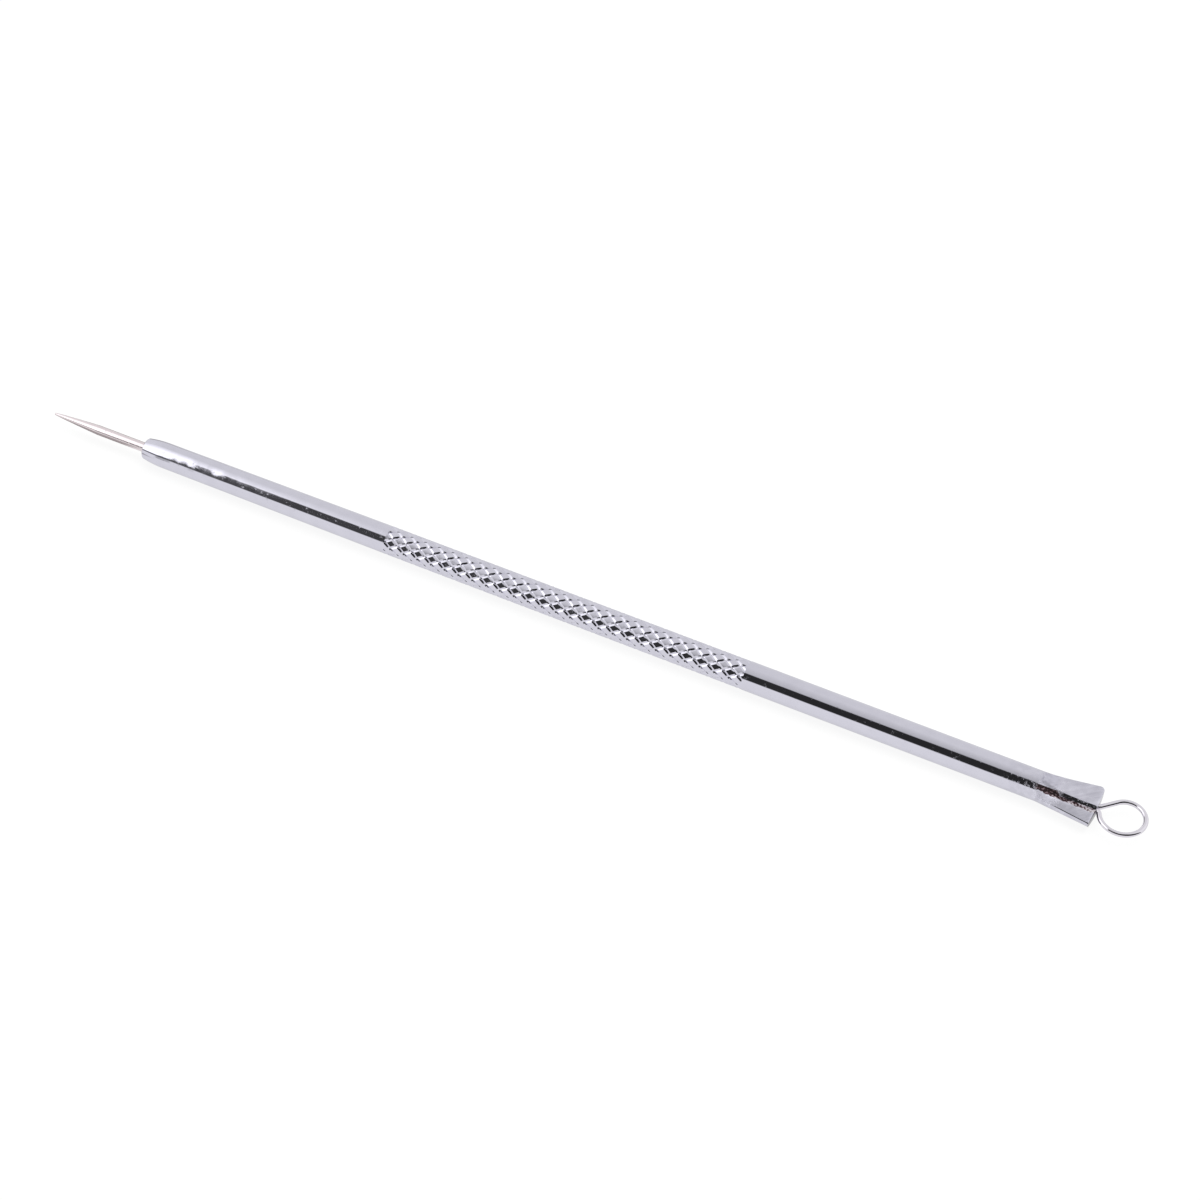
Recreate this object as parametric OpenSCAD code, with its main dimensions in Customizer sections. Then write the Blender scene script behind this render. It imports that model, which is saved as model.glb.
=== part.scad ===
// Blackhead extractor: a slim double-ended hand tool, in millimetres.
// A one-piece round handle carries a lancet needle in its nose and a sprung wire loop in its
// flattened tail. The tool lies along X, with the needle at -X and the loop at +X.
// Y is across the tool in the plane of the loop, Z is up, and the origin is the middle of the
// whole tool, on the axis of the handle.

/* [Handle] */
// Diameter of the plain handle on the loop side of the knurl
handle_d = 3; // [2.9:0.1:3.3]
// Length of the handle from its nose face to its tail face
handle_length = 105.9; // [100:0.1:112]
// Diameter of the handle on the needle side, where it meets the knurl
front_d = 2.95; // [2.8:0.05:3]
// Diameter of the handle where the rounded nose starts
nose_d = 2.76; // [2.7:0.02:2.9]
// Diameter of the flat face of the nose
nose_face_d = 2.32; // [2.1:0.02:2.6]
// Length over which the nose is rounded down
nose_length = 2.4; // [1.5:0.1:4]
// Chamfer on the edge of the nose face
nose_chamfer = 0.12; // [0.05:0.01:0.2]
// Distance from the nose face to the start of the knurl
knurl_start = 29.5; // [26:0.5:32]

/* [Knurl] */
// Length of the knurled grip
knurl_length = 40.2; // [34:0.2:44]
// Diameter over the crests of the diamonds
knurl_d = 3.12; // [3.1:0.02:3.2]
// Spacing of the diamonds along the handle
knurl_pitch = 1.55; // [1.3:0.05:1.8]
// Number of grooves that start around the handle in each direction
knurl_starts = 9; // [8:1:10]
// Depth of the grooves
knurl_depth = 0.12; // [0.1:0.02:0.22]
// Share of each diamond that is left as a land
knurl_land = 0.6; // [0.5:0.02:0.7]

/* [Needle] */
// Diameter of the needle's shank
needle_d = 1.05; // [0.9:0.05:1.2]
// Length of the needle outside the nose
needle_out = 11.7; // [10:0.1:13]
// Length of the ground point
needle_point = 4.6; // [3:0.2:5.4]
// Diameter at the very tip
needle_tip_d = 0.05; // [0.04:0.01:0.1]
// Depth that the needle sits in the handle
needle_seat = 8; // [6:0.5:10]

/* [Wire loop] */
// Diameter of the wire
wire_d = 0.5; // [0.4:0.05:0.55]
// Inside diameter of the round of the loop
loop_inner_d = 3.25; // [3:0.05:3.5]
// Distance from the tail face to the far end of the loop
loop_out = 4.9; // [4.8:0.1:5.4]
// Distance of the middle of the round from the axis of the handle, towards the far side
loop_shift = 0.15; // [0:0.05:0.2]
// Radius of the bend where each leg leaves the tail, on the centre line of the wire
leg_bend_r = 0.35; // [0.3:0.05:0.5]
// Angle to which the near leg is bent where it leaves the tail, before it bows into the round
near_leg_angle = 68; // [58:1:72]
// Depth that the legs sit in the handle
leg_seat = 8; // [7:0.5:10]
// Distance of the wire below the axis of the handle
wire_drop = 0.1; // [0.04:0.02:0.12]

/* [Crimp] */
// Length of the flattened tail
crimp_length = 5.7; // [5:0.1:6.4]
// Width of the tail face
crimp_width = 4.6; // [4:0.1:5]
// Distance by which the tail is spread to the far side
crimp_shift = 0.1; // [0:0.05:0.2]
// Height of the pressed top above the axis, in the middle of the tail face
crimp_top = 0.52; // [0.5:0.02:0.7]
// Height of the pressed top above the axis, at its two edges
crimp_edge = 0.26; // [0.2:0.02:0.36]
// Depth of the underside below the axis at the tail face
crimp_under = 1.2; // [1.1:0.05:1.4]
// Turn of the pressed tail about the handle's axis, with the far side up, in degrees
crimp_roll = 5; // [0:1:8]
// Width of the punched groove
groove_w = 0.95; // [0.7:0.05:1.1]
// Depth of the punched groove
groove_depth = 0.24; // [0.15:0.01:0.26]
// Distance of the bottom of the groove from the middle of the tail, towards the near side
groove_shift = 0.4; // [0.3:0.05:0.5]
// Share of the width of the groove that its steep far wall takes
groove_steep = 0.3; // [0.2:0.05:0.5]
// Rounding of the far corner of the tail, seen from above
corner_r = 0.55; // [0.2:0.05:0.8]
// Distance that the near corner of the tail sits back from the tail face
near_setback = 0.2; // [0:0.05:0.3]

/* [Hidden] */
$fn = 64;
// Clearance between a seated piece and its hole, on the radius
seat_gap = 0.01;
// Overlap where two lengths of the handle are joined
joint_overlap = 0.04;
// Length and drop of the tapered ends that tie a shaped length into a plain one
tie_length = 0.5;
tie_drop = 0.06;
// How far the crimp sits below the plain rod where it starts
crimp_step = 0.01;

handle_r = handle_d / 2;
total_length = needle_out + handle_length + loop_out;
tip_x = -total_length / 2;
nose_x = tip_x + needle_out;
tail_x = nose_x + handle_length;
knurl_x = nose_x + knurl_start;
knurl_end_x = knurl_x + knurl_length;
crimp_x = tail_x - crimp_length;

// A point on a turned surface: distance along the tool, radius and angle from Y towards Z.
function turned(x, r, a) = [x, r * cos(a), r * sin(a)];

// Handle, needle side: a turned length with a rounded nose and a slight taper.
nose_steps = 6;
nose_profile = [
    for (i = [0:nose_steps])
        let (t = i / nose_steps)
        [
            nose_d / 2 - (nose_d - nose_face_d) / 2 * pow(1 - t, 2),
            nose_chamfer + (nose_length - nose_chamfer) * t
        ]
];

module front_length() {
    difference() {
        translate([nose_x, 0, 0])
            rotate([0, 90, 0])
                rotate_extrude()
                    polygon(concat(
                        [[0, 0], [nose_face_d / 2 - nose_chamfer, 0]],
                        nose_profile,
                        [
                            [front_d / 2, knurl_start + joint_overlap],
                            [0, knurl_start + joint_overlap]
                        ]
                    ));
        needle_hole();
    }
}

// Blind hole for the needle, with the cone that a drill leaves.
module needle_hole() {
    hole_r = needle_d / 2 + seat_gap;
    translate([nose_x - 1, 0, 0])
        rotate([0, 90, 0])
            rotate_extrude()
                polygon([
                    [0, 0],
                    [hole_r, 0],
                    [hole_r, needle_seat + 1.1],
                    [0, needle_seat + 1.1 + hole_r * tan(31)]
                ]);
}

// Knurl: flat-topped diamonds between two families of crossing grooves.
knurl_rows = round(knurl_length / knurl_pitch);
row_pitch = knurl_length / knurl_rows;
half_turn = 180 / knurl_starts;
groove_r = handle_r - knurl_depth;
crest_r = knurl_d / 2;

// Grooves cross at whole rows between two diamonds, and at half rows in line with them.
function whole_node(i, j) = turned(knurl_x + j * row_pitch, groove_r, (2 * i + 1) * half_turn);
function half_node(i, j) = turned(knurl_x + (j + 0.5) * row_pitch, groove_r, 2 * i * half_turn);
// Each land is crowned, so the tool rests on rows of crests and doesn't roll.
function land_points(x, a) = [
    turned(x, crest_r, a),
    turned(x + knurl_land * row_pitch / 2, handle_r, a),
    turned(x, handle_r, a + knurl_land * half_turn),
    turned(x - knurl_land * row_pitch / 2, handle_r, a),
    turned(x, handle_r, a - knurl_land * half_turn)
];

// Faces of one diamond, from the index of its first point and of the four crossings round it.
function land_faces(p, e, n, w, s) = [
    [p, p + 1, p + 2], [p, p + 2, p + 3], [p, p + 3, p + 4], [p, p + 4, p + 1],
    [p + 1, e, n], [p + 1, n, p + 2],
    [p + 2, n, w], [p + 2, w, p + 3],
    [p + 3, w, s], [p + 3, s, p + 4],
    [p + 4, s, e], [p + 4, e, p + 1]
];

module knurl_length_band() {
    starts = knurl_starts;
    rows = knurl_rows;
    whole_at = 0;
    half_at = whole_at + starts * (rows + 1);
    between_at = half_at + starts * rows;
    inline_at = between_at + 5 * starts * rows;
    rim_at = inline_at + 5 * starts * (rows - 1);
    tie_at = rim_at + 2 * starts;

    function whole(i, j) = whole_at + j * starts + (i + starts) % starts;
    function half(i, j) = half_at + j * starts + (i + starts) % starts;
    // Ends: side 0 is the needle end and side 1 the loop end, with two points for each start.
    function rim(side, k) =
        let (m = (k + 2 * starts) % (2 * starts), i = floor(m / 2))
        m % 2 == 1 ? whole(i, side * rows) : rim_at + side * starts + i;
    function tie(side, k) = tie_at + side * 2 * starts + (k + 2 * starts) % (2 * starts);

    points = concat(
        [for (j = [0:rows]) for (i = [0:starts - 1]) whole_node(i, j)],
        [for (j = [0:rows - 1]) for (i = [0:starts - 1]) half_node(i, j)],
        [
            for (j = [0:rows - 1]) for (i = [0:starts - 1])
                each land_points(knurl_x + (j + 0.5) * row_pitch, (2 * i + 1) * half_turn)
        ],
        [
            for (j = [1:rows - 1]) for (i = [0:starts - 1])
                each land_points(knurl_x + j * row_pitch, 2 * i * half_turn)
        ],
        [
            for (side = [0, 1]) for (i = [0:starts - 1])
                turned(knurl_x + side * knurl_length, groove_r, 2 * i * half_turn)
        ],
        [
            for (side = [0, 1]) for (k = [0:2 * starts - 1])
                turned(
                    side == 0 ? knurl_x - tie_length : knurl_end_x + tie_length,
                    groove_r - tie_drop,
                    k * half_turn
                )
        ]
    );

    between_faces = [
        for (j = [0:rows - 1]) for (i = [0:starts - 1])
            each land_faces(
                between_at + 5 * (j * starts + i),
                whole(i, j + 1), half(i + 1, j), whole(i, j), half(i, j)
            )
    ];
    inline_faces = [
        for (j = [1:rows - 1]) for (i = [0:starts - 1])
            each land_faces(
                inline_at + 5 * ((j - 1) * starts + i),
                half(i, j), whole(i, j), half(i, j - 1), whole(i - 1, j)
            )
    ];
    // The half diamonds at each end are left at the depth of the grooves.
    end_faces = [
        for (i = [0:starts - 1])
            each [
                [rim(0, 2 * i - 1), half(i, 0), rim(0, 2 * i)],
                [rim(0, 2 * i), half(i, 0), rim(0, 2 * i + 1)],
                [rim(1, 2 * i), half(i, rows - 1), rim(1, 2 * i - 1)],
                [rim(1, 2 * i + 1), half(i, rows - 1), rim(1, 2 * i)]
            ]
    ];
    tie_faces = [
        for (k = [0:2 * starts - 1])
            each [
                [tie(0, k), rim(0, k), rim(0, k + 1)],
                [tie(0, k), rim(0, k + 1), tie(0, k + 1)],
                [tie(1, k), rim(1, k + 1), rim(1, k)],
                [tie(1, k), tie(1, k + 1), rim(1, k + 1)]
            ]
    ];
    cap_faces = [
        [for (k = [0:2 * starts - 1]) tie(0, k)],
        [for (k = [2 * starts - 1:-1:0]) tie(1, k)]
    ];
    polyhedron(
        points = points,
        faces = concat(between_faces, inline_faces, end_faces, tie_faces, cap_faces)
    );
}

// Crimp: the tail of the rod pressed flat from above on the two legs of the wire.
// Each section has a pressed top between two sharp edges, and a round underside.
edge_angle = 77;
near_steps = 5;
shallow_steps = 3;
steep_steps = 2;
far_steps = 6;
groove_from = near_steps;
groove_bottom = groove_from + shallow_steps;
groove_to = groove_bottom + steep_steps;
top_count = groove_to + far_steps;
under_count = 26;
section_count = top_count + under_count;
shallow_w = groove_w * (1 - groove_steep);
steep_w = groove_w * groove_steep;

half_width = crimp_width / 2;
near_edge = crimp_shift - half_width;
far_edge = crimp_shift + half_width;

function between(from, to, share) = from + (to - from) * share;

// Position across the pressed top, from the near edge to the far edge.
function top_across(k, near, far) =
    k <= groove_from
        ? between(near, -groove_shift - shallow_w, k / near_steps)
        : k <= groove_bottom
            ? between(-groove_shift - shallow_w, -groove_shift, (k - groove_from) / shallow_steps)
            : k <= groove_to
                ? between(-groove_shift, -groove_shift + steep_w, (k - groove_bottom) / steep_steps)
                : between(-groove_shift + steep_w, far, (k - groove_to) / far_steps);

// The groove has a shallow wall on its near side and a steep one on its far side.
function groove_cut(w) =
    let (from_bottom = w + groove_shift)
    groove_depth
        * max(0, 1 - (from_bottom < 0 ? -from_bottom / shallow_w : from_bottom / steep_w));

function top_end(k) =
    let (
        w = top_across(k, near_edge, far_edge),
        from_middle = abs(w - crimp_shift) / half_width,
        rise = between(crimp_top, crimp_edge, pow(from_middle, 2))
    )
    [w, rise];

function under_end(k) =
    let (a = 180 * k / under_count)
    [
        crimp_shift + half_width * sign(cos(a)) * pow(abs(cos(a)), 0.85),
        crimp_edge - (crimp_edge + crimp_under) * pow(sin(a), 0.85)
    ];

// Angle on the round rod that matches each point of the pressed section.
function top_angle(k) =
    let (half = handle_r * sin(edge_angle))
    asin(top_across(k, -half, half) / handle_r);
function under_angle(k) = edge_angle + (360 - 2 * edge_angle) * k / under_count;

function round_point(k, r) =
    let (a = k < top_count ? top_angle(k) : under_angle(k - top_count))
    [r * sin(a), r * cos(a)];
function pressed_point(k) = k < top_count ? top_end(k) : under_end(k - top_count);

// The press bites quickly at first, most of all on the near side, and levels out. The tail
// widens evenly to its face.
far_bite = 4;
near_bite = 9;
groove_lead = 6;
function press_at(t, w) =
    let (near = min(1, max(0, -w / handle_r)))
    1 - pow(1 - t, between(far_bite, near_bite, near));
function groove_at(t) = min(1, t * groove_lead);

// Rings lie closer together where the press bites and where the corner is rounded.
press_rings = 12;
corner_rings = 4;
first_ring = 0.01;
corner_share = corner_r / crimp_length;
ring_places = concat(
    [
        for (j = [0:press_rings])
            max(first_ring, pow(j / press_rings, 1.5) * (1 - corner_share))
    ],
    [for (j = [1:corner_rings]) 1 - corner_share * (1 - sin(90 * j / corner_rings))]
);

// The far corner is rounded off over the last part of the tail.
function corner_cut(u, w) =
    let (into = u + corner_r)
    into <= 0 || w <= 0
        ? 0
        : (corner_r - sqrt(max(0, corner_r * corner_r - into * into))) * pow(w / far_edge, 4);

function crimp_point(k, t) =
    let (
        u = (t - 1) * crimp_length,
        flat = pressed_point(k),
        arc = round_point(k, handle_r - crimp_step),
        across = between(arc[0], flat[0], t),
        rise = between(arc[1], flat[1], press_at(t, across)),
        w = across - corner_cut(u, across),
        cut = k < top_count ? groove_cut(w) * groove_at(t) : 0,
        q = rise - cut,
        setback = near_setback * t * max(0, -w) / half_width
    )
    [
        tail_x + u - setback,
        w * cos(crimp_roll) - q * sin(crimp_roll),
        w * sin(crimp_roll) + q * cos(crimp_roll)
    ];

function tie_point(k) =
    let (p = round_point(k, handle_r - tie_drop))
    [
        crimp_x - tie_length,
        p[0] * cos(crimp_roll) - p[1] * sin(crimp_roll),
        p[0] * sin(crimp_roll) + p[1] * cos(crimp_roll)
    ];

module crimp() {
    count = section_count;
    last = len(ring_places);
    points = concat(
        [for (k = [0:count - 1]) tie_point(k)],
        [for (t = ring_places) for (k = [0:count - 1]) crimp_point(k, t)]
    );
    function at(j, k) = j * count + (k + count) % count;
    sides = [
        for (j = [0:last - 1]) for (k = [0:count - 1])
            each [
                [at(j, k), at(j + 1, k + 1), at(j + 1, k)],
                [at(j, k), at(j, k + 1), at(j + 1, k + 1)]
            ]
    ];
    // The tail face is fanned from a point between the legs of the wire.
    polyhedron(
        points = concat(points, [[tail_x, 0, -wire_drop]]),
        faces = concat(
            sides,
            [[for (k = [count - 1:-1:0]) at(0, k)]],
            [for (k = [0:count - 1]) [at(last, k), at(last, k + 1), len(points)]]
        )
    );
}

module rear_length() {
    difference() {
        union() {
            translate([knurl_end_x - joint_overlap, 0, 0])
                rotate([0, 90, 0])
                    cylinder(r = handle_r, h = crimp_x - knurl_end_x + joint_overlap);
            crimp();
        }
        wire_hole();
    }
}

// Drilled hole for the two legs, and the slot that is left of it where the tail is pressed.
leg_v = wire_d / 2 + seat_gap;
slot_w = 2 * leg_v + wire_d + 2 * seat_gap;
slot_h = wire_d + 2 * seat_gap;
drill_d = 1.16;

module wire_hole() {
    translate([tail_x - leg_seat - 0.1, 0, 0])
        rotate([0, 90, 0])
            cylinder(d = drill_d, h = leg_seat - crimp_length + 0.2);
    translate([tail_x - crimp_length, -slot_w / 2, -wire_drop - slot_h / 2])
        cube([crimp_length + 1, slot_w, slot_h]);
}

module handle() {
    color([0.8, 0.8, 0.83])
        union() {
            front_length();
            knurl_length_band();
            rear_length();
        }
}

// Needle: a round shank with a slightly convex ground point, and a shallow neck of two cones
// where the nose grips it.
neck_depth = 0.06;
neck_in = 0.5;
neck_out = 0.12;
point_steps = 8;
point_profile = [
    for (i = [0:point_steps])
        let (t = i / point_steps)
        [
            needle_tip_d / 2 + (needle_d - needle_tip_d) / 2 * pow(1 - t, 0.85),
            needle_seat + needle_out - needle_point + needle_point * t
        ]
];

module needle() {
    color([0.74, 0.71, 0.7])
        translate([nose_x + needle_seat, 0, 0])
            rotate([0, -90, 0])
                rotate_extrude()
                    polygon(concat(
                        [
                            [0, 0],
                            [needle_d / 2, 0],
                            [needle_d / 2, needle_seat - neck_in],
                            [needle_d / 2 - neck_depth, needle_seat + (neck_out - neck_in) / 2],
                            [needle_d / 2, needle_seat + neck_out]
                        ],
                        point_profile,
                        [[0, needle_seat + needle_out]]
                    ));
}

// Wire loop: two legs side by side in the tail with a bend on each, and a round between them.
// The far leg runs straight into the round, and the near leg bows into it.
loop_r = (loop_inner_d + wire_d) / 2;
loop_centre = [loop_out - wire_d / 2 - loop_r, loop_shift];
bend_rise = leg_v + leg_bend_r - loop_shift;
far_leg_angle = asin((loop_r + leg_bend_r) / norm([loop_centre[0], bend_rise]))
    - atan2(bend_rise, loop_centre[0]);

function bend_end(angle) = [leg_bend_r * sin(angle), leg_v + leg_bend_r * (1 - cos(angle))];
far_start = bend_end(far_leg_angle);
far_end = loop_centre + loop_r * [-sin(far_leg_angle), cos(far_leg_angle)];

// The bow touches both the near bend and the round, seen here as if the near leg were the far one.
near_start = bend_end(near_leg_angle);
bow_inward = [sin(near_leg_angle), -cos(near_leg_angle)];
near_centre = [loop_centre[0], -loop_shift];
to_centre = near_centre - near_start;
bow_r = (to_centre * to_centre - loop_r * loop_r) / (2 * (to_centre * bow_inward - loop_r));
bow_centre = near_start + bow_r * bow_inward;
bow_end_angle = atan2(near_centre[1] - bow_centre[1], near_centre[0] - bow_centre[0]);

// A straight or a bow is a hair thinner than what it joins, and runs a little way into it.
weld_step = 0.002;
weld_overlap = 0.03;

module wire_straight(length) {
    translate([-weld_overlap, 0, 0])
        rotate([0, 90, 0])
            cylinder(r = wire_d / 2 - weld_step, h = length + 2 * weld_overlap);
}

module wire_arc(r, angle, wire_r = wire_d / 2) {
    rotate_extrude(angle = angle)
        translate([r, 0])
            circle(r = wire_r);
}

module wire_bow(r, angle) {
    overlap_angle = weld_overlap / r * 180 / PI;
    rotate([0, 0, -overlap_angle])
        wire_arc(r, angle + 2 * overlap_angle, wire_d / 2 - weld_step);
}

module leg_and_bend(angle) {
    translate([-leg_seat, leg_v, 0])
        wire_straight(leg_seat);
    translate([0, leg_v + leg_bend_r, 0])
        rotate([0, 0, -90])
            wire_arc(leg_bend_r, angle);
}

module wire_loop() {
    color([0.78, 0.76, 0.78])
        translate([tail_x, 0, -wire_drop]) {
            leg_and_bend(far_leg_angle);
            translate([far_start[0], far_start[1], 0])
                rotate([0, 0, far_leg_angle])
                    wire_straight(norm(far_end - far_start));
            mirror([0, 1, 0]) {
                leg_and_bend(near_leg_angle);
                translate([bow_centre[0], bow_centre[1], 0])
                    rotate([0, 0, bow_end_angle])
                        wire_bow(bow_r, 90 + near_leg_angle - bow_end_angle);
            }
            translate([loop_centre[0], loop_centre[1], 0])
                rotate([0, 0, -bow_end_angle])
                    wire_arc(loop_r, bow_end_angle + 90 + far_leg_angle);
        }
}

handle();
needle();
wire_loop();
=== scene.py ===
"""Blackhead extractor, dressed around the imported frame.

The tool lies along X, with the needle at -X and the wire loop at +X. Y is across the tool in the
plane of the loop, and Z is up. Lengths are written in millimetres and turned into metres by mm().
Angles on the round of the handle run from +Y towards +Z.
"""

from math import asin, atan2, ceil, copysign, cos, hypot, pi, radians, sin, sqrt, tan

import bmesh
import bpy
from mathutils import Matrix, Vector


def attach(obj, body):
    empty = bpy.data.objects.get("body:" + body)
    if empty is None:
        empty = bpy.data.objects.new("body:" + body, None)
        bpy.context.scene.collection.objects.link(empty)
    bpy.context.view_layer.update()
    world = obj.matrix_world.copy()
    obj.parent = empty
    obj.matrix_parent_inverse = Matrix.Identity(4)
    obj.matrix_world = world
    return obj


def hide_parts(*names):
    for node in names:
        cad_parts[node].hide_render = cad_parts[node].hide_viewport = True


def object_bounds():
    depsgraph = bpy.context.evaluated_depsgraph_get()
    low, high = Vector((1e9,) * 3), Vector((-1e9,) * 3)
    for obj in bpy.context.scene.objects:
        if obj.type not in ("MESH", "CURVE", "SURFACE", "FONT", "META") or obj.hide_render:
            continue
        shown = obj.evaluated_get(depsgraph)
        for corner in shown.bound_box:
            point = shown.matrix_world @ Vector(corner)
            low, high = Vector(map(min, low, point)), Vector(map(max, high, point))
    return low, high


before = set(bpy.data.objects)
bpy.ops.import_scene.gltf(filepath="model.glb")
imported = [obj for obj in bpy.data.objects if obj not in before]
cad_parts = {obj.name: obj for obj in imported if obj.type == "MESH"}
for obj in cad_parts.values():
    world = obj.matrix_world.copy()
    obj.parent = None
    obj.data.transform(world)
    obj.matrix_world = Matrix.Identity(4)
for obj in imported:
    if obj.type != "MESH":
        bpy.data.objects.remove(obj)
cad_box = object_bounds()
scene = bpy.context.scene


def mm(*values):
    return Vector(values) / 1000


def add_object(name, data):
    thing = bpy.data.objects.new(name, data)
    scene.collection.objects.link(thing)
    return thing


# Handle
HANDLE_R = 1.5
HANDLE_LENGTH = 105.9
FRONT_R = 1.475
NOSE_R = 1.38
NOSE_FACE_R = 1.16
NOSE_LENGTH = 2.4
NOSE_CHAMFER = 0.12
HOLE_EDGE = 0.04
DRILL_PAST = 0.1
DRILL_ANGLE = radians(31)
# Inside the handle, its front, grip and rear close on a core, and a lathe closes near the axis.
CORE_R = HANDLE_R - 0.5
CORE_REACH = 1
CORE_OVERLAP = 0.01
AXIS_R = 0.02

# Needle
NEEDLE_R = 0.525
NEEDLE_OUT = 11.7
NEEDLE_POINT = 5.6
NEEDLE_TIP_R = 0.12
NEEDLE_SEAT = 8
NECK_DEPTH = 0.06
NECK_IN = 0.5
NECK_OUT = 0.12
NECK_SHOULDER = 0.05
POINT_POWER = 0.8

# Knurl
KNURL_START = 29.5
KNURL_LENGTH = 40.2
KNURL_PITCH = 1.585
KNURL_STARTS = 9
KNURL_DEPTH = 0.09
KNURL_LAND = 0.58
KNURL_FLATNESS = 0.9
KNURL_TURN = radians(-1)
FIRST_DIAMOND = 0.49

# Wire loop
WIRE_R = 0.25
WIRE_SIDES = 32
LOOP_R = 1.875
LOOP_OUT = 4.9
LOOP_SHIFT = 0.15
LEG_BEND_R = 0.35
NEAR_LEG_ANGLE = radians(68)
LEG_SEAT = 8
WIRE_DROP = 0.1
SEAT_GAP = 0.01

# Crimp
CRIMP_LENGTH = 5.7
CRIMP_WIDTH = 4.6
CRIMP_SHIFT = 0.1
CRIMP_TOP = 0.52
CRIMP_EDGE = 0.26
CRIMP_UNDER = 1.2
CRIMP_ROLL = radians(5)
GROOVE_W = 0.95
GROOVE_DEPTH = 0.24
GROOVE_SHIFT = 0.4
GROOVE_STEEP = 0.3
CORNER_R = 0.55
NEAR_SETBACK = 0.2
EDGE_ROUND = 0.14
TAIL_ROUND = 0.3
TAIL_ROUND_DROP = 0.1
SLOT_REACH = 2

TIP_X = -(NEEDLE_OUT + HANDLE_LENGTH + LOOP_OUT) / 2
NOSE_X = TIP_X + NEEDLE_OUT
TAIL_X = NOSE_X + HANDLE_LENGTH
KNURL_X = NOSE_X + KNURL_START
KNURL_END_X = KNURL_X + KNURL_LENGTH
CRIMP_X = TAIL_X - CRIMP_LENGTH

ROUND_SIDES = 128
SHARP_ANGLE = 32
KNURL_SHARP_ANGLE = 16


def close_mesh(bm, name, material, node, sharp_angle=SHARP_ANGLE):
    """Turn a bmesh into a shaded piece that stands for a node and rides on the root body."""
    bmesh.ops.recalc_face_normals(bm, faces=bm.faces)
    mesh = bpy.data.meshes.new(name)
    bm.to_mesh(mesh)
    bm.free()
    mesh.polygons.foreach_set("use_smooth", [True] * len(mesh.polygons))
    mesh.set_sharp_from_angle(angle=radians(sharp_angle))
    mesh.materials.append(material)
    piece = add_object(name, mesh)
    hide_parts(node)
    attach(piece, "root")


def bridge(bm, first, second):
    """Join two rings of the same number of points with quads."""
    count = len(first)
    for k in range(count):
        after = (k + 1) % count
        bm.faces.new((first[k], first[after], second[after], second[k]))


def loft(bm, sections):
    """Join rings in order and close both ends."""
    rings = [[bm.verts.new(mm(*p)) for p in points] for points in sections]
    for first, second in zip(rings, rings[1:]):
        bridge(bm, first, second)
    bm.faces.new(rings[0])
    bm.faces.new(rings[-1])


def circle(x, r):
    turns = [2 * pi * k / ROUND_SIDES for k in range(ROUND_SIDES)]
    return [(x, r * cos(a), r * sin(a)) for a in turns]


def lathe(bm, profile):
    """Turn (x, r) points about the axis; the first and last rings are closed."""
    loft(bm, [circle(x, r) for x, r in profile])


def steps(count):
    return [i / count for i in range(count + 1)]


# Handle: turned front, knurled grip, and the rear that is pressed flat on the wire.
def build_front(bm):
    """The needle's hole, the round edge and the taper of the nose, and the plain front."""
    hole_r = NEEDLE_R + SEAT_GAP
    hole_end = NOSE_X + NEEDLE_SEAT + DRILL_PAST
    hole = [
        (hole_end + hole_r * tan(DRILL_ANGLE), AXIS_R),
        (hole_end, hole_r),
        (NOSE_X + HOLE_EDGE, hole_r),
        (NOSE_X, hole_r + HOLE_EDGE),
    ]
    edge = [
        (
            NOSE_X + NOSE_CHAMFER * (1 - sin(t * pi / 2)),
            NOSE_FACE_R - NOSE_CHAMFER * (1 - cos(t * pi / 2)),
        )
        for t in reversed(steps(10))
    ]
    nose = [
        (
            NOSE_X + NOSE_CHAMFER + (NOSE_LENGTH - NOSE_CHAMFER) * t,
            NOSE_R - (NOSE_R - NOSE_FACE_R) * (1 - t) ** 2,
        )
        for t in steps(14)[1:]
    ]
    end = [
        (KNURL_X, FRONT_R),
        (KNURL_X + CORE_OVERLAP, CORE_R),
        (KNURL_X - CORE_REACH, CORE_R),
        (KNURL_X - 2 * CORE_REACH, AXIS_R),
    ]
    lathe(bm, hole + edge + nose + end)


def knurl_radius(p, q):
    """Radius on the knurl at a place of its lattice, whole numbers being the middle of a groove."""
    half_land = KNURL_LAND / 2
    half_turn = pi / KNURL_STARTS
    p, q = p % 1 - 0.5, q % 1 - 0.5
    on_land = [max(-half_land, min(half_land, d)) for d in (p, q)]
    offset = (on_land[0] - on_land[1]) * half_turn
    flat = KNURL_FLATNESS * ((KNURL_LAND * half_turn) ** 2 - offset**2) / 2
    into_groove = max(abs(p) - half_land, abs(q) - half_land, 0) / (0.5 - half_land)
    return HANDLE_R * (1 - flat) - KNURL_DEPTH * into_groove


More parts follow.
